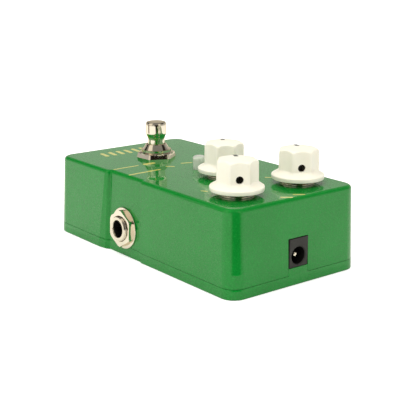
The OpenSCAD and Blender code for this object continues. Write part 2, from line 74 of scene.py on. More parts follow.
# Walls: half widths at the foot and how much each loses up to the top
LEAN = {"rear": 0.7 * MM, "panel": 1.3 * MM, "toe": 1.4 * MM, "end": 1.1 * MM}
FOOT = {
    "toe": TOE_HALF_WIDTH,
    "rear": TOE_HALF_WIDTH - 1.2 * MM,
    "panel": TOE_HALF_WIDTH - 1.7 * MM,
    "end": HALF_LENGTH,
}
CORNER_TOP = 5.0 * MM
CORNER_FOOT = 5.6 * MM
SMALLEST_CORNER = 0.4 * MM
INNER_CORNER_SHARE = 0.6  # how much of the inset an inner corner loses from its radius
EDGE_RADIUS = 1.4 * MM
TOP_RIM = 0.25 * MM
PANEL_FRONT = -19.0 * MM
PANEL_BACK = 2.2 * MM
PANEL_EASE = 0.45 * MM

# Shoulder between panel and toe: length along Y for each step across, and where its bend lies in it
SHOULDER_SLOPE_FOOT = 3.4
SHOULDER_SLOPE_TOP = 1.0
BEND_ACROSS = 0.68
BEND_ALONG = 0.32

WALL = 2.1 * MM
SKIN = 2.0 * MM
SEAM = 3.8 * MM
SEAM_GAP = 0.14 * MM
COVER_FLOOR = 2.0 * MM
COVER_WALL_TOP = 12 * MM
INLET_SLOT = (-4.9 * MM, 4.4 * MM)
INLET_SLOT_TOP = 17.2 * MM
INLET_TAB_GAP = 0.1 * MM
INLET_TAB_FACE = 52.2 * MM
JACK_HOLE_R = 4.94 * MM
JACK_TAB_HALF = 4.74 * MM
JACK_TAB_DEPTH = 1.7 * MM
WASHER_THICK = 0.6 * MM
BROAD = 1.6 * MM  # faces wider than this are shaded flat

# Radius in mm of the hole in the top for each of these
TOP_HOLES = {"pot_shaft_left": 3.6, "pot_shaft_right": 3.6, "pot_shaft_center": 3.6,
             "footswitch_plunger": 6.1, "lamp_lens": 2.6}

PANEL_TILT = math.atan(LEAN["panel"] / TOP)


# ---------------------------------------------------------------- node helpers for materials

MIX_FACTOR, MIX_FIRST, MIX_SECOND, MIX_RESULT = 0, 6, 7, 2  # sockets of a colour Mix node


def fill_ramp(ramp, stops):
    """Puts (position, (red, green, blue)) stops into a colour ramp, in rising order."""
    while len(ramp.elements) < len(stops):
        ramp.elements.new(0.5)
    for element, (position, colour) in zip(ramp.elements, stops):
        element.position = position
        element.color = (*colour, 1.0)


class Nodes:
    """Short calls for building one material's node tree."""

    def __init__(self, name):
        self.material = bpy.data.materials.new(name)
        self.material.use_nodes = True
        self.tree = self.material.node_tree
        self.shader = self.tree.nodes["Principled BSDF"]

    def add(self, kind, **settings):
        node = self.tree.nodes.new(kind)
        for key, value in settings.items():
            setattr(node, key, value)
        return node

    def link(self, output, target):
        self.tree.links.new(output, target)

    def place(self, scale):
        """Object coordinates, in metres, times scale: one number, or one for each axis."""
        coords = self.add("ShaderNodeTexCoord")
        mapping = self.add("ShaderNodeMapping")
        if isinstance(scale, (int, float)):
            scale = (scale, scale, scale)
        mapping.inputs["Scale"].default_value = scale
        self.link(coords.outputs["Object"], mapping.inputs["Vector"])
        return mapping.outputs["Vector"]

    def noise(self, scale, detail):
        node = self.add("ShaderNodeTexNoise")
        node.inputs["Scale"].default_value = 1.0
        node.inputs["Detail"].default_value = detail
        self.link(self.place(scale), node.inputs["Vector"])
        return node.outputs["Fac"]

    def cells(self, scale, feature="F1"):
        node = self.add("ShaderNodeTexVoronoi", feature=feature)
        node.inputs["Scale"].default_value = 1.0
        self.link(self.place(scale), node.inputs["Vector"])
        return node

    def ramp(self, value, stops, interpolation="LINEAR"):
        node = self.add("ShaderNodeValToRGB")
        node.color_ramp.interpolation = interpolation
        fill_ramp(node.color_ramp, stops)
        self.link(value, node.inputs["Fac"])
        return node.outputs["Color"]

    def grey(self, value, low, high):
        """A number from low to high, as value goes from 0 to 1."""
        node = self.add("ShaderNodeMapRange")
        node.inputs["To Min"].default_value = low
        node.inputs["To Max"].default_value = high
        self.link(value, node.inputs["Value"])
        return node.outputs["Result"]

    def mix(self, factor, first, colour):
        """Goes from the socket first over to a plain colour as factor rises."""
        node = self.add("ShaderNodeMix", data_type="RGBA")
        self.link(factor, node.inputs[MIX_FACTOR])
        self.link(first, node.inputs[MIX_FIRST])
        node.inputs[MIX_SECOND].default_value = (*colour, 1.0)
        return node.outputs[MIX_RESULT]

    def bump(self, height, strength, distance):
        node = self.add("ShaderNodeBump")
        node.inputs["Strength"].default_value = strength
        node.inputs["Distance"].default_value = distance
        self.link(height, node.inputs["Height"])
        return node.outputs["Normal"]

    def set(self, **values):
        """Sets the shader's inputs by name, with _ for a space, to numbers, colours or sockets."""
        for key, value in values.items():
            socket = self.shader.inputs[key.replace("_", " ")]
            if isinstance(value, bpy.types.NodeSocket):
                self.link(value, socket)
            else:
                socket.default_value = value


def metallic_green():
    """Gloss green lacquer with fine metal flake under a clear coat."""
    n = Nodes("metallic_green")
    flake = n.cells(4600)
    parts = n.add("ShaderNodeSeparateColor")
    n.link(flake.outputs["Color"], parts.inputs["Color"])
    dark, lit = (0, 0, 0), (0.35, 0.35, 0.35)
    bright = n.ramp(parts.outputs["Red"], [(0.0, dark), (0.80, dark), (1.0, lit)])
    drift = n.noise(55, 3)
    base = n.ramp(drift, [(0.3, (0.0009, 0.205, 0.021)), (0.7, (0.0014, 0.230, 0.026))])
    n.set(Base_Color=n.mix(bright, base, (0.03, 0.42, 0.07)))
    n.set(Metallic=n.grey(bright, 0.12, 0.7), Roughness=0.42)
    # Each flake's own random colour, centred and scaled, leans the normal of that flake
    tilt = n.add("ShaderNodeVectorMath", operation="SUBTRACT")
    n.link(flake.outputs["Color"], tilt.inputs[0])
    tilt.inputs[1].default_value = (0.5, 0.5, 0.5)
    amount = n.add("ShaderNodeVectorMath", operation="SCALE")
    n.link(tilt.outputs[0], amount.inputs[0])
    amount.inputs["Scale"].default_value = 0.5
    geometry = n.add("ShaderNodeNewGeometry")
    tilted = n.add("ShaderNodeVectorMath", operation="ADD")
    n.link(geometry.outputs["Normal"], tilted.inputs[0])
    n.link(amount.outputs[0], tilted.inputs[1])
    unit = n.add("ShaderNodeVectorMath", operation="NORMALIZE")
    n.link(tilted.outputs[0], unit.inputs[0])
    n.set(Normal=unit.outputs[0])
    n.set(Coat_Normal=n.bump(n.noise(330, 2), 0.035, 0.0002))
    n.set(Specular_IOR_Level=0.05, Coat_Weight=1.0, Coat_Roughness=0.03, Coat_IOR=1.42)
    return n.material


def cream_plastic():
    """Moulded cream plastic that lets a little light in."""
    n = Nodes("cream_plastic")
    cloud = n.noise(130, 4)
    n.set(Base_Color=n.ramp(cloud, [(0.3, (0.88, 0.85, 0.76)), (0.7, (0.91, 0.89, 0.80))]))
    n.set(Roughness=n.grey(n.noise(900, 3), 0.30, 0.40))
    n.set(Normal=n.bump(n.noise(2600, 2), 0.06, 0.0001))
    n.set(Subsurface_Weight=0.12, Subsurface_Radius=(0.0012, 0.001, 0.0007))
    n.set(Coat_Weight=0.15, Coat_Roughness=0.15)
    return n.material


def metal(name, colour, roughness, wear=0.05, grain=0.0):
    """Bare or plated metal with uneven polish, and fine turning lines where grain is above zero."""
    turning_lines = (300, 300, 9000)
    n = Nodes(name)
    patch = n.noise(260, 4)
    darker = tuple(c * 0.86 for c in colour)
    n.set(Base_Color=n.ramp(patch, [(0.25, darker), (0.75, colour)]))
    n.set(Metallic=1.0, Specular_Tint=(*(min(1.0, c * 1.1) for c in colour), 1.0))
    n.set(Roughness=n.grey(n.noise(700, 3), max(roughness - wear, 0.02), roughness + wear))
    if grain:
        n.set(Normal=n.bump(n.noise(turning_lines, 2), grain, 0.00005))
    return n.material


def plastic(name, colour, roughness, grain=0.1, grain_scale=3000, shine=0.5):
    """Moulded plastic with a faint eggshell grain."""
    n = Nodes(name)
    lighter = tuple(min(1.0, c * 1.25 + 0.004) for c in colour)
    n.set(Base_Color=n.ramp(n.noise(180, 4), [(0.3, colour), (0.75, lighter)]))
    n.set(Roughness=n.grey(n.noise(800, 3), roughness - 0.06, roughness + 0.06))
    n.set(Normal=n.bump(n.noise(grain_scale, 2), grain, 0.0001))
    n.set(Specular_IOR_Level=shine)
    return n.material


def clear_epoxy():
    """Clear resin with a half-diffuse white body: painted light for the brightness of reflections inside the
    lens.
    """
    n = Nodes("clear_epoxy")
    n.set(Base_Color=n.ramp(n.noise(300, 2), [(0.3, (0.93, 0.96, 0.90)), (0.7, (0.97, 0.99, 0.94))]))
    n.set(Roughness=n.grey(n.noise(900, 2), 0.02, 0.06))
    # Half transmission over a near-white base: painted light for the lens's inner reflections.
    n.set(Transmission_Weight=0.5, IOR=1.5, Coat_Weight=1.0, Coat_Roughness=0.02)
    return n.material


def screen_ink():
    """Yellow screen print with slightly uneven cover."""
    n = Nodes("screen_ink")
    n.set(Base_Color=n.ramp(n.noise(900, 5), [(0.3, (0.50, 0.52, 0.07)), (0.7, (0.66, 0.62, 0.12))]))
    n.set(Roughness=n.grey(n.noise(1500, 2), 0.3, 0.45))
    n.set(Coat_Weight=1.0, Coat_Roughness=0.03)
    return n.material


def circuit_board():
    """Green solder mask with copper tracks showing faintly through it."""
    n = Nodes("circuit_board")
    tracks = n.cells((260, 260, 1), feature="DISTANCE_TO_EDGE")
    lines = n.ramp(tracks.outputs["Distance"], [(0.0, (0.03, 0.27, 0.09)), (0.06, (0.012, 0.14, 0.045))])
    n.set(Base_Color=lines, Roughness=n.grey(n.noise(500, 2), 0.25, 0.4))
    return n.material


def banded_sleeve(name, ground, band, scale):
    """A coat with rings of another colour."""
    n = Nodes(name)
    rings = n.noise(scale, 0)
    n.set(Base_Color=n.ramp(rings, [(0.5, ground), (0.62, band)], "CONSTANT"))
    n.set(Roughness=n.grey(n.noise(700, 2), 0.25, 0.4))
    return n.material


def white_sweep():
    """The white floor. The camera sees it lifted towards pure white, which lights nothing."""
    n = Nodes("white_sweep")
    n.set(Base_Color=n.ramp(n.noise(6, 2), [(0.3, (0.93, 0.93, 0.93)), (0.7, (0.95, 0.95, 0.95))]))
    n.set(Roughness=0.9, Specular_IOR_Level=0.1, Emission_Color=(0.92, 0.96, 1.0, 1.0))
    path = n.add("ShaderNodeLightPath")
    n.set(Emission_Strength=n.grey(path.outputs["Is Camera Ray"], 0.0, 0.42))
    return n.material


FINISH = {
    "green_paint": metallic_green(),
    "cream_plastic": cream_plastic(),
    "chrome": metal("chrome", (0.84, 0.77, 0.66), 0.07, 0.03),
    "nickel": metal("nickel", (0.80, 0.73, 0.62), 0.16, 0.06, 0.15),
    "brass": metal("turned_brass", (0.78, 0.57, 0.26), 0.22, 0.06, 0.2),
    "black_steel": metal("black_steel", (0.045, 0.043, 0.04), 0.38, 0.08),
    "aluminium": metal("turned_aluminium", (0.75, 0.75, 0.74), 0.25, 0.06, 0.3),
    "tinned_steel": metal("tinned_steel", (0.62, 0.62, 0.59), 0.32, 0.08),
    "spring_steel": metal("spring_steel", (0.52, 0.52, 0.5), 0.25, 0.05),
    "zinc_screw": metal("zinc_screw", (0.55, 0.56, 0.58), 0.3, 0.08, 0.2),
    "phenolic": plastic("phenolic", (0.25, 0.13, 0.055), 0.5),
    "fibre_sheet": plastic("fibre_sheet", (0.03, 0.03, 0.032), 0.6, 0.3, 900),
    "blue_plastic": plastic("blue_plastic", (0.02, 0.10, 0.42), 0.35),
    "gold_contact": metal("gold_contact", (0.86, 0.66, 0.28), 0.2, 0.05),
    "circuit_board": circuit_board(),
    "clear_lens": clear_epoxy(),
    "black_plastic": plastic("black_plastic", (0.018, 0.018, 0.019), 0.42),
    "inlet_plastic": plastic("inlet_plastic", (0.024, 0.023, 0.022), 0.55, shine=0.3),
    # The darkest black, with almost no shine: black plastic plus painted shade for the inside of deep holes.
    "deep_black": plastic("deep_black", (0.0025, 0.0025, 0.0025), 0.6, shine=0.08),
    "resistor_coat": banded_sleeve("resistor_coat", (0.60, 0.47, 0.28), (0.25, 0.05, 0.03), (1, 900, 1)),
    "film_red": plastic("film_red", (0.42, 0.04, 0.03), 0.25),
    "drum_sleeve": plastic("drum_sleeve", (0.02, 0.025, 0.07), 0.3),
    "wire_insulation": plastic("wire_insulation", (0.45, 0.03, 0.02), 0.4),
    "screen_ink": screen_ink(),
    "pointer_ink": plastic("pointer_ink", (0.012, 0.011, 0.010), 0.4),
    "sweep": white_sweep(),
}

for part in frame["record"]["subparts"]:
    mesh = NODES[part["node"]].data
    mesh.materials.clear()
    mesh.materials.append(FINISH[part["material_slot"]])


# ---------------------------------------------------------------- mesh helpers


def piece(name, verts, faces, finish, slot=None, body="case", replaces=(), smooth=38, place=None):
    """Makes one piece from points and faces, with the named finish, riding on a CAD body."""
    mesh = bpy.data.meshes.new(name)
    mesh.from_pydata([tuple(v) for v in verts], [], faces)
    obj = bpy.data.objects.new(name, mesh)
    bpy.context.scene.collection.objects.link(obj)
    if place is not None:
        mesh.transform(place)
    settle(obj, smooth)
    mesh.materials.append(FINISH[finish])
    if body is not None:
        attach(obj, body)
    for node in replaces:
        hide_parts(node)
    return obj


def settle(obj, smooth):
    """Outward normals, and smooth shading except at edges sharper than the angle and on broad faces."""
    mesh = obj.data
    work = bmesh.new()
    work.from_mesh(mesh)
    bmesh.ops.remove_doubles(work, verts=work.verts, dist=1e-7)
    bmesh.ops.recalc_face_normals(work, faces=work.faces)
    work.to_mesh(mesh)
    work.free()
    mesh.shade_smooth()
    mesh.set_sharp_from_angle(angle=math.radians(smooth))
    points = mesh.vertices
    for polygon in mesh.polygons:
        longest = max((points[a].co - points[b].co).length for a, b in polygon.edge_keys)
        if polygon.area > BROAD * longest:
            polygon.use_smooth = False


def apply_modifiers(obj):
    bpy.context.view_layer.update()
    graph = bpy.context.evaluated_depsgraph_get()
    mesh = bpy.data.meshes.new_from_object(obj.evaluated_get(graph), depsgraph=graph)
    obj.modifiers.clear()
    obj.data = mesh


def carve(obj, tool):
    """Cuts the tool's shape out of obj, and removes the tool."""
    modifier = obj.modifiers.new("carve", "BOOLEAN")
    modifier.operation = "DIFFERENCE"
    modifier.solver = "EXACT"
    modifier.object = tool
    apply_modifiers(obj)
    bpy.data.objects.remove(tool)


def soften(obj, width, segments=2, angle=35):
    """Bevels the edges sharper than the angle."""
    modifier = obj.modifiers.new("soften", "BEVEL")
    modifier.width = width
    modifier.segments = segments
    modifier.limit_method = "ANGLE"
    modifier.angle_limit = math.radians(angle)
    apply_modifiers(obj)


def tool_mesh(verts, faces, place=None):
    """A helper solid for carve(). It never stays in the scene."""
    mesh = bpy.data.meshes.new("tool")
    mesh.from_pydata([tuple(v) for v in verts], [], faces)
    if place is not None:
        mesh.transform(place)
    obj = bpy.data.objects.new("tool", mesh)
    bpy.context.scene.collection.objects.link(obj)
    settle(obj, 30)
    return obj


def millimetres_at(x, y, z=0.0):
    """Matrix for points in mm about a place in metres."""
    return Matrix.Translation((x, y, z)) @ Matrix.Scale(MM, 4)


def box_shape(low, high):
    xs, ys, zs = zip(low, high)
    verts = [(x, y, z) for z in zs for y in ys for x in xs]
    faces = [(0, 2, 3, 1), (4, 5, 7, 6), (0, 1, 5, 4), (2, 6, 7, 3), (0, 4, 6, 2), (1, 3, 7, 5)]
    return verts, faces


def turned(profile, segments=96, shape=None, closed=False):
    """Surface of revolution about Z. profile is a list of (radius, height); shape(radius, height, angle) may
    change the radius. An open profile starts and ends on the axis, and a closed one joins end to start."""
    verts, faces, rows = [], [], []
    for radius, height in profile:
        if radius < 1e-9:
            rows.append([len(verts)])
            verts.append((0.0, 0.0, height))
            continue
        row = []
        for k in range(segments):
            angle = 2 * math.pi * k / segments
            r = shape(radius, height, angle) if shape else radius
            row.append(len(verts))
            verts.append((r * math.cos(angle), r * math.sin(angle), height))
        rows.append(row)
    pairs = list(zip(rows, rows[1:]))
    if closed:
        pairs.append((rows[-1], rows[0]))
    for low, high in pairs:
        for k in range(segments):
            m = (k + 1) % segments
            if len(low) == 1 and len(high) == 1:
                continue
            if len(low) == 1:
                faces.append((low[0], high[m], high[k]))
            elif len(high) == 1:
                faces.append((low[k], low[m], high[0]))
            else:
                faces.append((low[k], low[m], high[m], high[k]))
    return verts, faces


def slab(*spans):
    """A box for carve(), from its two ends along X, Y and Z, each pair in any order."""
    low, high = zip(*(sorted(span) for span in spans))
    return tool_mesh(*box_shape(low, high))


def drill(obj, radius, low, high, place, segments=48):
    """Cuts a round hole out of obj, from low to high along the Z axis of place."""
    hole = [(0, low), (radius, low), (radius, high), (0, high)]
    carve(obj, tool_mesh(*turned(hole, segments), place))


def rounded(points, radius, steps=5):
    """Rounds the inner points of a (radius, height) profile with short arcs."""
    out = [points[0]]
    for before, here, after in zip(points, points[1:], points[2:]):
        a, b, c = Vector(before), Vector(here), Vector(after)
        first, second = (a - b), (c - b)
        reach = min(radius, first.length * 0.45, second.length * 0.45)
        start, end = b + first.normalized() * reach, b + second.normalized() * reach
        for s in range(steps + 1):
            t = s / steps
            out.append(tuple(start * (1 - t) ** 2 + b * 2 * t * (1 - t) + end * t * t))
    out.append(points[-1])
    return out


def hexagon_radius(across_flats, angle, turn=0.0, corner=0.06):
    """Distance from the axis to a hexagon with slightly eased corners."""
    sector = math.pi / 3
    offset = (angle - turn + sector / 2) % sector - sector / 2
    flat = across_flats / 2 / math.cos(offset)
    return min(flat, across_flats / 2 / math.cos(sector / 2) * (1 - corner * 0.25))


# ---------------------------------------------------------------- case and cover


def fillet_outline(corners, steps=7):
    """Closed outline from (x, y, radius) corners, each replaced by an arc of the same number of points."""
    out = []
    count = len(corners)
    for i, (x, y, radius) in enumerate(corners):
        b = Vector((x, y))
        a = Vector(corners[i - 1][:2])
        c = Vector(corners[(i + 1) % count][:2])
        first, second = a - b, c - b
        opening = first.angle(second)
        reach = radius / math.tan(opening / 2)
        reach = min(reach, first.length * 0.48, second.length * 0.48)
        true_radius = reach * math.tan(opening / 2)
        start, end = b + first.normalized() * reach, b + second.normalized() * reach
        centre = b + (first.normalized() + second.normalized()).normalized() * (
            true_radius / math.sin(opening / 2)
        )
        from_centre, to_centre = start - centre, end - centre
        sweep = from_centre.angle_signed(to_centre)
        for s in range(steps + 1):
            turn = Matrix.Rotation(-sweep * s / steps, 2)
            out.append(centre + turn @ from_centre)
    return out


def case_outline(z, inset=0.0, plain=False, steps=7):
    """Outline of the case's outer wall at height z, moved inward by inset."""
    rise = z / TOP
    half = {k: FOOT[k] - LEAN[k] * rise - inset for k in FOOT}
    share = INNER_CORNER_SHARE if plain else 1.0
    corner = max(CORNER_FOOT + (CORNER_TOP - CORNER_FOOT) * rise - inset * share, SMALLEST_CORNER)
    slope = SHOULDER_SLOPE_FOOT + (SHOULDER_SLOPE_TOP - SHOULDER_SLOPE_FOOT) * rise
    step = half["toe"] - half["panel"]
    shoulder = PANEL_FRONT - step * slope
    bend = (half["panel"] + BEND_ACROSS * step, PANEL_FRONT - BEND_ALONG * (PANEL_FRONT - shoulder))
    if plain:
        right = [(half["panel"], half["end"], corner), (half["panel"], -half["end"], corner)]
    else:
        right = [
            (half["rear"], half["end"], corner),
            (half["rear"], PANEL_BACK, PANEL_EASE * 2),
            (half["panel"], PANEL_BACK, PANEL_EASE * 2),
            (half["panel"], PANEL_FRONT, PANEL_EASE),
            (*bend, PANEL_EASE * 2),
            (half["toe"], shoulder, PANEL_EASE * 2),
            (half["toe"], -half["end"], corner),
        ]
    left = [(-x, y, r) for x, y, r in reversed(right)]
    return fillet_outline(right + left, steps)


def loft(outlines, heights):
    """Joins outlines at their heights with quads, and closes the two ends."""
    verts, faces = [], []
    count = len(outlines[0])
    for outline, z in zip(outlines, heights):
        verts += [(p[0], p[1], z) for p in outline]
    for level in range(len(outlines) - 1):
        for k in range(count):
            m = (k + 1) % count
            a, b = level * count, (level + 1) * count
            faces.append((a + k, a + m, b + m, b + k))
    faces.append(tuple(reversed(range(count))))
    faces.append(tuple(range((len(outlines) - 1) * count, len(outlines) * count)))
    return verts, faces


def outer_walls(bottom, top_height=None, foot_ease=0.0):
    """(height, inset) levels of the outer form from bottom up: an eased foot if asked for, straight walls,
    and then the rounded top edge, unless the walls stop at top_height."""
    levels = []
    if foot_ease:
        for s in range(4):
            a = math.pi / 2 * s / 4
            levels.append((bottom + foot_ease * (1 - math.cos(a)), foot_ease * (1 - math.sin(a))))
        levels.append((bottom + foot_ease, 0.0))
    else:
        levels.append((bottom, 0.0))
    end = top_height if top_height is not None else TOP - EDGE_RADIUS
    start = levels[-1][0]
    for s in range(1, 7):
        levels.append((start + (end - start) * s / 6, 0.0))
    if top_height is None:
        for s in range(1, 11):
            a = math.pi / 2 * s / 10
            levels.append((TOP - EDGE_RADIUS + EDGE_RADIUS * math.sin(a), EDGE_RADIUS * (1 - math.cos(a))))
        levels.append((TOP, EDGE_RADIUS + TOP_RIM))
    return levels


def jack_place(side):
    """Matrix that puts a jack's parts on the recessed panel, with +Z outward along its axis."""
    centre = centre_of(("input" if side > 0 else "output") + "_jack_washer")
    axis = Vector((side * math.cos(PANEL_TILT), 0, math.sin(PANEL_TILT)))
    origin = centre - axis * WASHER_THICK / 2
    up = Vector((0, side, 0))
    across = up.cross(axis)
    turn = Matrix((across, up, axis)).transposed().to_4x4()
    return Matrix.Translation(origin) @ turn


def build_case():
    levels = outer_walls(SEAM + SEAM_GAP)
    outlines = [case_outline(min(z, TOP), inset, steps=8) for z, inset in levels]
    shell = piece(
        "case_shell", *loft(outlines, [z for z, _ in levels]), "green_paint", replaces=["enclosure_shell"]
    )
    inner_top = TOP - SKIN
    ease, bend = 0.35 * MM, 1.2 * MM
    inner_levels = [-1 * MM, inner_top - bend, inner_top - ease, inner_top]
    insets = [0, 0, ease, bend]
    hollow = [case_outline(z, WALL + inset, plain=True) for z, inset in zip(inner_levels, insets)]
    carve(shell, tool_mesh(*loft(hollow, inner_levels)))
    carve(shell, slab(INLET_SLOT, (50 * MM, 60 * MM), (0, INLET_SLOT_TOP)))
    for side in SIDES:
        place = jack_place(side)
        drill(shell, JACK_HOLE_R, -6 * MM, 6 * MM, place)
        at = place.translation
        carve(shell, slab((side * 24 * MM, side * 34 * MM), (at.y - JACK_HOLE_R, at.y + JACK_HOLE_R),
                          (-1 * MM, at.z)))
    for node, radius in TOP_HOLES.items():
        at = centre_of(node)
        drill(shell, radius * MM, TOP - 5 * MM, TOP + 5 * MM, Matrix.Translation((at.x, at.y, 0)))
    soften(shell, 0.16 * MM)
    settle(shell, 24)


def jack_tab(side, top):
    """A box for carve(): the room of the cover's tab behind a jack's washer, up to top."""
    at = jack_place(side).translation
    return slab((at.x - side * JACK_TAB_DEPTH, side * 60 * MM), (at.y - JACK_TAB_HALF, at.y + JACK_TAB_HALF),
                (0, top))


def build_cover():
    levels = outer_walls(0.0, COVER_WALL_TOP, foot_ease=0.5 * MM)
    outlines = [case_outline(z, inset, steps=8) for z, inset in levels]
    cover = piece(
        "cover_pan", *loft(outlines, [z for z, _ in levels]), "green_paint", replaces=["bottom_cover"]
    )
    # What stands above the seam goes, but not the tabs; the hollow then keeps clear of the tabs too
    inlet_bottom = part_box("inlet_body")[0].z - INLET_TAB_GAP
    tab_across = (INLET_SLOT[0] + INLET_TAB_GAP, INLET_SLOT[1] - INLET_TAB_GAP)
    tab_along = (INLET_TAB_FACE, 70 * MM)
    above = slab((-50 * MM, 50 * MM), (-70 * MM, 70 * MM), (SEAM, 20 * MM))
    carve(above, slab(tab_across, tab_along, (0, inlet_bottom)))
    for side in SIDES:
        carve(above, jack_tab(side, jack_place(side).translation.z - 2 * MM))
    carve(cover, above)
    heights = [COVER_FLOOR, 20 * MM]
    pocket = tool_mesh(*loft([case_outline(z, WALL, plain=True) for z in heights], heights))
    for side in SIDES:
        carve(pocket, jack_tab(side, 20 * MM))
    carve(pocket, slab(tab_across, tab_along, (0, 21 * MM)))
    carve(cover, pocket)
    for side in SIDES:
        drill(cover, JACK_HOLE_R, -6 * MM, 6 * MM, jack_place(side))
    screws = size_of("cover_screws")
    head_r, sink_r, hole_r, sink_top = 2.8 * MM, 3.98 * MM, 1.65 * MM, 1.5 * MM
    sink = [(0, -1 * MM), (sink_r, -1 * MM), (hole_r, sink_top), (hole_r, 5 * MM), (0, 5 * MM)]
    for sx in SIDES:
        for sy in SIDES:
            at = Vector((sx * (screws.x / 2 - head_r), sy * (screws.y / 2 - head_r), 0))
            carve(cover, tool_mesh(*turned(sink, 32), Matrix.Translation(at)))
    soften(cover, 0.14 * MM)
    settle(cover, 24)


# ---------------------------------------------------------------- knobs

# In mm, above the case's top
KNOB = {"bottom": 1.8, "skirt_r": 9.65, "grip_r": 7.55, "top": 13.2, "facets": 7}
KNOB_TRAVEL = 296  # degrees from stop to stop
REST_ANGLE = math.radians(90 + KNOB_TRAVEL / 2)
FLUTE_R = 9.0
FLUTE_DEPTH = 1.05
RIDGE_SHARPNESS = 7.0
SET_SCREW_R = 1.38
SET_SCREW_HEIGHT = 6.7


def knob_point(radius, height, angle):
    """Radius of the knob's surface in mm: hollow facets meet the round grip in soft ridges."""
    start, full = KNOB["bottom"] + 2.2, KNOB["bottom"] + 3.6
    blend = min(max((height - start) / (full - start), 0.0), 1.0)
    blend = blend * blend * (3 - 2 * blend)
    sector = 2 * math.pi / KNOB["facets"]
    offset = (angle + sector / 2) % sector - sector / 2
    far = KNOB["grip_r"] - FLUTE_DEPTH + FLUTE_R
    hollow = far * math.cos(offset) - math.sqrt(max(FLUTE_R**2 - (far * math.sin(offset)) ** 2, 0.0))
    both = math.exp(-RIDGE_SHARPNESS * radius) + math.exp(-RIDGE_SHARPNESS * hollow)
    soft = min(-math.log(both) / RIDGE_SHARPNESS, radius)
    return radius + (soft - radius) * blend


def knob_profile():
    """(radius, height) of the knob in mm, from the skirt's underside over the crown to the axis."""
    b, top, grip, skirt = KNOB["bottom"], KNOB["top"], KNOB["grip_r"], KNOB["skirt_r"]
    skirt_line = rounded([(7.1, b), (skirt - 0.05, b), (skirt, b + 1.5), (grip + 0.5, b + 2.45),
                          (grip, b + 3.4), (grip, b + 5)], 0.32, 5)
    side_line = rounded([(grip, b + 5), (grip - 0.12, top - 0.6), (grip - 3.5, top - 0.2)], 1.1, 8)
    # Steps of at most half a millimetre, so that the facets can bend the surface
    fine = []
    path = skirt_line + side_line[1:]
    for (r0, z0), (r1, z1) in zip(path, path[1:]):
        parts = max(1, int(max(abs(r1 - r0), abs(z1 - z0)) / 0.5))
        fine += [(r0 + (r1 - r0) * s / parts, z0 + (z1 - z0) * s / parts) for s in range(parts)]
    crown_r, crown_z = path[-1]
    crown = [(crown_r * (1 - s / 6), crown_z + (top - crown_z) * (1 - (1 - s / 6) ** 2)) for s in range(7)]
    return fine + crown


def build_knob(name):
    body = f"{name}_knob"
    at = centre_of(f"pot_shaft_{name}")
    under = [(0, 11.7), (3.05, 11.7), (3.05, 10.5), (4.3, 10.5), (4.3, 3.2), (7.1, 3.2)]
    profile = under + knob_profile()
    turn = Matrix.Rotation(REST_ANGLE + math.pi, 4, "Z")
    place = Matrix.Translation((at.x, at.y, TOP)) @ turn @ Matrix.Scale(MM, 4)

    def shape(radius, height, angle):
        outside = radius > 4.4 and height > 3.6
        return knob_point(radius, height, angle) if outside else radius

    knob = piece(f"grip_{name}", *turned(profile, KNOB["facets"] * 24, shape), "cream_plastic", body=body,
                 replaces=[f"knob_{name}"], smooth=42, place=place)
    sideways = Matrix.Translation((0, 0, SET_SCREW_HEIGHT)) @ Matrix.Rotation(math.pi / 2, 4, "Y")
    drill(knob, SET_SCREW_R, 3.5, 12, place @ sideways, 40)
    settle(knob, 42)
    build_pointer(name, body, place)


def build_pointer(name, body, place):
    """Black line inlaid in the crown, opposite the set screw."""
    lowest, innermost = KNOB["top"] - 2.1, 1.5
    reach = [(r, z) for r, z in knob_profile() if z > lowest and r > innermost]
    half, proud, deep = 0.7, 0.03, 0.25
    verts, faces = [], []
    for r, z in reach:
        angle_r = knob_point(r, z, math.pi)
        for side in (-1, 1):
            verts.append((-(angle_r + proud * 0.5), side * half, z + proud))
            verts.append((-(angle_r - deep), side * half, z - deep))
    for i in range(len(reach) - 1):
        a, b = 4 * i, 4 * (i + 1)
        faces += [(a, a + 2, b + 2, b), (a + 1, b + 1, b + 3, a + 3)]
        faces += [(a, b, b + 1, a + 1), (a + 2, a + 3, b + 3, b + 2)]
    end = 4 * (len(reach) - 1)
    faces += [(0, 1, 3, 2), (end, end + 2, end + 3, end + 1)]
    piece(f"pointer_{name}", verts, faces, "pointer_ink", slot="black_plastic", body=body, place=place)


def build_pot_hardware(name):
    """Hexagonal nut and round washer under a knob."""
    at = centre_of(f"pot_shaft_{name}")
    place = millimetres_at(at.x, at.y, TOP)
    washer = rounded([(3.55, 0.3), (3.55, 0), (6.2, 0), (6.2, 0.6), (3.55, 0.6), (3.55, 0.31)], 0.12, 3)
    piece(f"pot_washer_{name}", *turned(washer, 72, closed=True), "chrome", slot="nickel", place=place)
    piece(f"pot_nut_{name}", *hex_nut(10.0, 0.6, 2.6, 3.5), "chrome", slot="nickel", place=place)


def hex_nut(across_flats, low, high, bore, chamfer=0.35, turn=0.0, round_face=True):
    """Hexagonal nut, in mm, with its corners chamfered: down to the flats if round_face, or else a little."""
    corner = across_flats / 2 / math.cos(math.pi / 6)
    rim = across_flats / 2 if round_face else corner - 0.4
    profile = [(bore, low + 0.25), (bore + 0.25, low), (rim, low), (corner + 0.02, low + chamfer),
               (corner + 0.02, high - chamfer), (rim, high), (bore + 0.25, high), (bore, high - 0.25)]

    def shape(radius, height, angle):
        if radius <= across_flats / 2 - 0.01:
            return radius
        return min(radius, hexagon_radius(across_flats, angle, turn))

    return turned(profile, 144, shape, closed=True)


# ---------------------------------------------------------------- footswitch


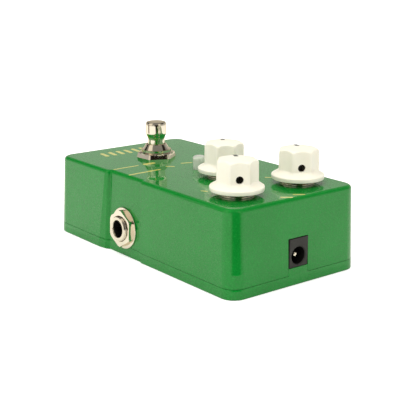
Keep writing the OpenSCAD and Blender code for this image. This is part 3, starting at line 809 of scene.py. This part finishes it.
def build_footswitch():
    at = centre_of("footswitch_plunger")
    place = millimetres_at(at.x, at.y)
    low, high = (corner.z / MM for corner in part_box("footswitch_plunger"))
    outline = [(0, low), (4.8, low), (4.8, low + 1), (3.44, low + 1), (3.46, high - 7.0), (3.56, high - 6.0),
               (4.16, high - 4.9), (4.2, high - 4.3), (4.2, high - 1.2), (4.08, high - 0.6),
               (3.8, high - 0.1), (3.2, high), (0, high)]
    piece("switch_button", *turned(rounded(outline, 0.45, 5), 96), "chrome", body="button",
          replaces=["footswitch_plunger"], place=place, smooth=45)
    top = TOP / MM
    foot, first_groove, pitch, grooves = 22.65, 23.0, 0.75, 15
    thread = [(3.5, foot), (5.7, foot)]
    for k in range(grooves):
        z = first_groove + pitch * k
        thread += [(5.95, z), (5.95, z + 0.15), (5.6, z + 0.375), (5.6, z + 0.45)]
    thread += [(5.7, top + 3), (3.5, top + 3)]
    piece("switch_bushing", *turned(thread, 72, closed=True), "nickel", replaces=["footswitch_bushing"],
          place=place, smooth=30)
    flats, turn, slant = 14.2, math.radians(5.5), 0.5
    corner = flats / 2 / math.cos(math.pi / 6)

    def hexed(radius, height, angle):
        if height > 1.9 or radius < 6.9:
            return radius
        return min(radius, hexagon_radius(flats - slant * height, angle, turn, 0.1))

    nut = [(6.02, 0.0), (7.2, 0.0), (corner + 0.1, 0.0), (corner + 0.1, 1.3), (corner - 0.3, 1.75), (6.7, 2.0),
           (6.2, 2.12), (5.85, 2.4), (5.45, 3.0), (5.0, 3.7), (4.6, 4.35), (4.3, 4.9), (4.1, 5.2), (3.66, 5.2),
           (3.66, 3.1), (6.02, 3.1)]
    piece("switch_dress_nut", *turned(nut, 144, hexed, closed=True), "chrome",
          replaces=["footswitch_dress_nut"], place=millimetres_at(at.x, at.y, TOP), smooth=28)


# ---------------------------------------------------------------- jacks, inlet, lamp


def build_jack(side):
    name = "input" if side > 0 else "output"
    place = jack_place(side) @ Matrix.Scale(MM, 4)
    washer = rounded([(4.85, 0.3), (4.85, 0), (7.9, 0), (7.9, 0.6), (4.85, 0.6), (4.85, 0.31)], 0.15, 3)
    piece(f"{name}_washer", *turned(washer, 96, closed=True), "chrome",
          replaces=[f"{name}_jack_washer"], place=place)
    piece(f"{name}_nut", *hex_nut(12.7, 0.6, 2.4, 4.78, 0.2, math.radians(30), False), "chrome",
          replaces=[f"{name}_jack_nut"], place=place, smooth=28)
    bore, crest, root, pitch, end = 3.25, 4.74, 4.45, 0.79, 3.39
    sleeve = [(bore, -6.0), (crest, -6.0)]
    z = -5.6
    while z < 2.7:
        sleeve += [(crest, z), (crest, z + 0.12), (root, z + 0.4), (root, z + 0.5)]
        z += pitch
    sleeve += [(crest, 2.8), (crest, 3.1), (4.5, end), (3.75, end), (3.4, 3.3), (bore, 3.0)]
    piece(f"{name}_bushing", *turned(sleeve, 72, closed=True), "nickel",
          replaces=[f"{name}_jack_bushing"], place=place, smooth=30)
    # Plastic liner in the jack's bore, in the darkest black: the real liner with painted shade deep in the
    # hole.
    shaded_liner = [(3.26, -6.0), (3.26, 2.5), (3.18, 2.6), (3.12, 2.5), (3.12, -6.0)]
    piece(f"{name}_liner", *turned(shaded_liner, 64, closed=True), "deep_black", slot="black_plastic", place=place)


def build_inlet():
    low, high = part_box("inlet_body")
    axis = centre_of("inlet_pin")
    body = piece("inlet_housing", *box_shape(low, high), "inlet_plastic", replaces=["inlet_body"])
    outward = Matrix.Rotation(-math.pi / 2, 4, "X")
    place = Matrix.Translation((axis.x, high.y, axis.z)) @ outward @ Matrix.Scale(MM, 4)
    well = [(0, -9.5), (3.15, -9.5), (3.15, -0.35), (3.5, 0), (3.5, 1), (0, 1)]
    carve(body, tool_mesh(*turned(well, 64), place))
    root_r, root_end = 0.8, -12.5
    drill(body, root_r, root_end, -9, place, 32)
    soften(body, 0.25 * MM, 3)
    settle(body, 35)
    pin = [(0, root_end), (root_r, root_end), (root_r, -9.5), (1.05, -9.5), (1.05, -2.3), (0.9, -1.9),
           (0.65, -1.66), (0.35, -1.6), (0, -1.6)]
    # Thin tube of the darkest black inside the socket's well: painted shade deep in the socket, over the
    # housing's own black plastic.
    well_shade = [(3.16, -9.4), (3.16, -0.5), (3.09, -0.4), (3.02, -0.5), (3.02, -9.4)]
    piece("inlet_well_shade", *turned(well_shade, 64, closed=True), "deep_black", slot="inlet_plastic", place=place)
    piece("inlet_centre_pin", *turned(pin, 40), "nickel", replaces=["inlet_pin"], place=place, smooth=40)


def build_lamp():
    low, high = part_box("lamp_lens")
    at = centre_of("lamp_lens")
    base, tip = low.z / MM, high.z / MM
    radius, edge = 2.5, 1.3
    lens = [(0, base), (2.75, base), (2.9, base + 0.12), (2.9, base + 0.6), (2.8, base + 0.7),
            (radius, base + 0.78)]
    lens += [(radius, base + 0.8 + (tip - edge - base - 0.8) * s / 5) for s in range(1, 6)]
    lens += [(radius - edge + edge * math.cos(math.radians(a)), tip - edge + edge * math.sin(math.radians(a)))
             for a in range(9, 91, 9)]
    lens += [(0, tip)]
    place = millimetres_at(at.x, at.y)
    piece("lamp_dome", *turned(lens, 72), "clear_lens", replaces=["lamp_lens"], place=place, smooth=50)
    cup_z = base + 3.4
    cup = [(0, cup_z - 0.9), (0.62, cup_z - 0.9), (0.95, cup_z), (0.8, cup_z), (0.45, cup_z - 0.6),
           (0, cup_z - 0.6)]
    shift = Matrix.Translation((-0.55 * MM, 0, 0))
    piece("lamp_cup", *turned(cup, 40), "tinned_steel", place=shift @ place)
    post = [(0, base + 0.1), (0.28, base + 0.1), (0.28, cup_z - 0.95), (0, cup_z - 0.95)]
    for k, x in enumerate((-1.0, 1.1)):
        moved = Matrix.Translation((x * MM, 0, 0)) @ place
        piece(f"lamp_post_{k}", *turned(rounded(post, 0.06, 2), 20), "tinned_steel", place=moved)


# ---------------------------------------------------------------- print on the top

INK_HEIGHT = 0.03 * MM
INK_DEPTH = 0.05 * MM


def printed_mark(name, outline):
    """A flat mark of ink on the top face, from a closed outline of points in mm."""
    count = len(outline)
    verts = [(x * MM, y * MM, TOP - INK_DEPTH) for x, y in outline]
    verts += [(x * MM, y * MM, TOP + INK_HEIGHT) for x, y in outline]
    faces = [tuple(reversed(range(count))), tuple(range(count, 2 * count))]
    faces += [(k, (k + 1) % count, count + (k + 1) % count, count + k) for k in range(count)]
    piece(name, verts, faces, "screen_ink", slot="green_paint", smooth=30)


def bar(x, y, length, width, turn=0.0):
    """Outline of a bar with round ends, in mm."""
    out = []
    half = length / 2 - width / 2
    for end in (1, -1):
        for k in range(8):
            a = math.pi * k / 7 - math.pi / 2
            out.append((end * (half + width / 2 * math.cos(a)), end * width / 2 * math.sin(a)))
    c, s = math.cos(turn), math.sin(turn)
    return [(x + px * c - py * s, y + px * s + py * c) for px, py in out]


def build_print():
    """Plain bars where the reference object carries lettering."""
    first, pitch, front, middle = 15.6, 3.8, -43.2, -19
    for k in range(6):
        printed_mark(f"front_tick_{k}", bar(first - pitch * k, front, 6.6, 1.7, math.radians(84)))
    printed_mark("middle_line", bar(21.3, middle, 11.6, 0.9))
    printed_mark("middle_pill", bar(10.5, middle, 5.6, 2.2))
    # x, y, length and width in mm, and the turn in degrees clockwise
    rows = [(20, -8.2, 15, 1.1, -2), (6.8, -10.1, 3.6, 1.0, 40), (-1.9, -11.1, 4.8, 1.0, 20),
            (20.1, 28.2, 2.8, 0.9, 55), (-11.2, 26.9, 2.8, 0.9, 40), (3.2, 52.2, 4.4, 0.9, 38),
            (-2.8, 52.0, 4.4, 0.9, 38)]
    for k, (x, y, length, width, turn) in enumerate(rows):
        printed_mark(f"label_{k}", bar(x, y, length, width, math.radians(-turn)))


# ---------------------------------------------------------------- stage, light, camera


WARM = (1.0, 0.975, 0.89)
AIM = (0, 0, 0.02)
ABOVE_FLOOR = 0.0006
NEARLY_BLACK = (0.02, 0.018, 0.014)


def shade_card(name, azimuth, half_angle, softness, colour):
    """Unlit colour that fades out to clear at both sides of a wedge about the card's own origin."""
    material = bpy.data.materials.new(name)
    material.use_nodes = True
    tree = material.node_tree
    tree.nodes.clear()
    coords = tree.nodes.new("ShaderNodeTexCoord")
    around = tree.nodes.new("ShaderNodeTexGradient")
    around.gradient_type = "RADIAL"
    ramp = tree.nodes.new("ShaderNodeValToRGB")
    middle = (90 - azimuth) / 360 + 0.5
    stops = [(-half_angle - softness, 0), (-half_angle, 1), (half_angle, 1), (half_angle + softness, 0)]
    fill_ramp(ramp.color_ramp, [(middle + angle / 360, (value,) * 3) for angle, value in stops])
    clear = tree.nodes.new("ShaderNodeBsdfTransparent")
    emission = tree.nodes.new("ShaderNodeEmission")
    emission.inputs["Color"].default_value = (*colour, 1.0)
    blend = tree.nodes.new("ShaderNodeMixShader")
    output = tree.nodes.new("ShaderNodeOutputMaterial")
    tree.links.new(coords.outputs["Object"], around.inputs["Vector"])
    tree.links.new(around.outputs["Fac"], ramp.inputs["Fac"])
    tree.links.new(ramp.outputs["Color"], blend.inputs["Fac"])
    tree.links.new(clear.outputs[0], blend.inputs[1])
    tree.links.new(emission.outputs[0], blend.inputs[2])
    tree.links.new(blend.outputs[0], output.inputs["Surface"])
    return material


def reflected_card(name, apex, azimuth, half_angle, rows, colour, softness=3):
    """Card seen only in reflections. rows are (distance from the apex, height), azimuth runs from +Y to +X."""
    verts, faces, steps = [], [], 10
    spread = half_angle + softness
    for radius, z in rows:
        for k in range(steps + 1):
            a = math.radians(azimuth - spread + 2 * spread * k / steps)
            verts.append((radius * math.sin(a), radius * math.cos(a), z))
    for r in range(len(rows) - 1):
        for k in range(steps):
            a, b = r * (steps + 1) + k, (r + 1) * (steps + 1) + k
            faces.append((a, a + 1, b + 1, b))
    mesh = bpy.data.meshes.new(name)
    mesh.from_pydata(verts, [], faces)
    mesh.materials.append(shade_card(name, azimuth, half_angle, softness, colour))
    card = bpy.data.objects.new(name, mesh)
    bpy.context.scene.collection.objects.link(card)
    card.location = (*apex, 0)
    for ray in ("camera", "diffuse", "transmission", "volume_scatter", "shadow"):
        setattr(card, f"visible_{ray}", False)


def build_world():
    """Soft white surroundings. Reflections see them bright near the horizon and dim overhead."""
    world = bpy.data.worlds.new("studio")
    bpy.context.scene.world = world
    world.use_nodes = True
    tree = world.node_tree
    background = tree.nodes["Background"]
    background.inputs["Color"].default_value = (*WARM, 1.0)
    coords = tree.nodes.new("ShaderNodeTexCoord")
    split = tree.nodes.new("ShaderNodeSeparateXYZ")
    tree.links.new(coords.outputs["Generated"], split.inputs["Vector"])
    lit = tree.nodes.new("ShaderNodeMapRange")
    for key, value in (("From Min", 0.05), ("From Max", 0.9), ("To Min", 0.62), ("To Max", 0.95)):
        lit.inputs[key].default_value = value
    tree.links.new(split.outputs["Z"], lit.inputs["Value"])
    seen = tree.nodes.new("ShaderNodeValToRGB")
    stops = [(0.0, 0.62), (0.30, 0.50), (0.42, 0.26), (1.0, 0.24)]
    fill_ramp(seen.color_ramp, [(height, (value,) * 3) for height, value in stops])
    tree.links.new(split.outputs["Z"], seen.inputs["Fac"])
    path = tree.nodes.new("ShaderNodeLightPath")
    choose = tree.nodes.new("ShaderNodeMix")
    tree.links.new(path.outputs["Is Glossy Ray"], choose.inputs[0])
    tree.links.new(lit.outputs["Result"], choose.inputs[2])
    tree.links.new(seen.outputs["Color"], choose.inputs[3])
    tree.links.new(choose.outputs[0], background.inputs["Strength"])


def build_stage():
    """White floor, surroundings, two lamps, and the cards that shape the reflections."""
    half = 3.0
    verts = [(-half, -half, 0), (half, -half, 0), (half, half, 0), (-half, half, 0)]
    floor = piece("floor", verts, [(0, 1, 2, 3)], "sweep", body=None)
    floor.location.z = -0.00002
    build_world()

    def lamp(name, place, size, power):
        light = bpy.data.lights.new(name, "AREA")
        light.shape = "RECTANGLE"
        light.size, light.size_y = size
        light.energy = power
        light.color = WARM
        obj = bpy.data.objects.new(name, light)
        bpy.context.scene.collection.objects.link(obj)
        obj.location = place
        obj.rotation_euler = (Vector(AIM) - Vector(place)).to_track_quat("-Z", "Y").to_euler()
        obj.visible_glossy = False

    lamp("overhead", (0.1, 0.0, 1.1), (1.2, 1.2), 8.0)
    lamp("left_front", (0.9, 0.2, 0.7), (0.8, 0.8), 2.0)
    near_floor = [(0.035, ABOVE_FLOOR), (1.1, ABOVE_FLOOR), (1.1, 0.5)]
    reflected_card("camera_side", (0.0245, 0.0497), 20, 24, near_floor, (0.012, 0.009, 0.006), 18)
    beside = [(0.16, ABOVE_FLOOR), (0.9, ABOVE_FLOOR), (0.9, 1.0)]
    reflected_card("left_shade", (0, -0.03), 122, 6, beside, (0.25, 0.19, 0.13), 4)
    reflected_card("left_panel", (0, 0), 105, 20, [(0.8, 0.12), (0.8, 1.7)], (1.0, 0.93, 0.78), 4)
    reflected_card("right_panel", (0, 0), -5, 12, [(0.8, 0.12), (0.8, 0.8)], (0.9, 0.84, 0.7), 4)
    reflected_card("rear_edge_shade", (0, 0), -53, 13, [(0.9, 0.38), (0.9, 1.05)], NEARLY_BLACK)
    reflected_card("side_edge_shade", (0, 0), 165, 20, [(0.9, 0.32), (0.9, 0.8)], NEARLY_BLACK)


def build_camera():
    """The camera of the reference view: a little above the pedal, off its input jack side and rear end."""
    focal_length, frame_width = 981.3, 416.0  # in the same unit
    sensor = 36.0
    place = (0.22614, 0.28957, 0.11726)
    yaw, pitch, roll = (math.radians(a) for a in (38.47, 15.45, 0.1))
    camera = bpy.data.cameras.new("camera")
    camera.sensor_width = sensor
    camera.lens = focal_length * sensor / frame_width
    camera.clip_start = 0.01
    obj = bpy.data.objects.new("camera", camera)
    bpy.context.scene.collection.objects.link(obj)
    back = Vector((math.sin(yaw) * math.cos(pitch), math.cos(yaw) * math.cos(pitch), math.sin(pitch)))
    right = Vector((0, 0, 1)).cross(back).normalized()
    up = back.cross(right)
    turn = Matrix((right, up, back)).transposed() @ Matrix.Rotation(roll, 3, "Z")
    obj.matrix_world = Matrix.Translation(place) @ turn.to_4x4()
    bpy.context.scene.camera = obj
    bpy.context.scene.view_settings.view_transform = "Standard"


build_camera()
build_stage()
build_case()
build_cover()
for knob_name in ("left", "right", "center"):
    build_knob(knob_name)
    build_pot_hardware(knob_name)
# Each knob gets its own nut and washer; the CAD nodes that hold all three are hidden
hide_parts("pot_nuts")
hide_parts("pot_washers")
build_footswitch()
for jack_side in SIDES:
    build_jack(jack_side)
build_inlet()
build_lamp()
build_print()
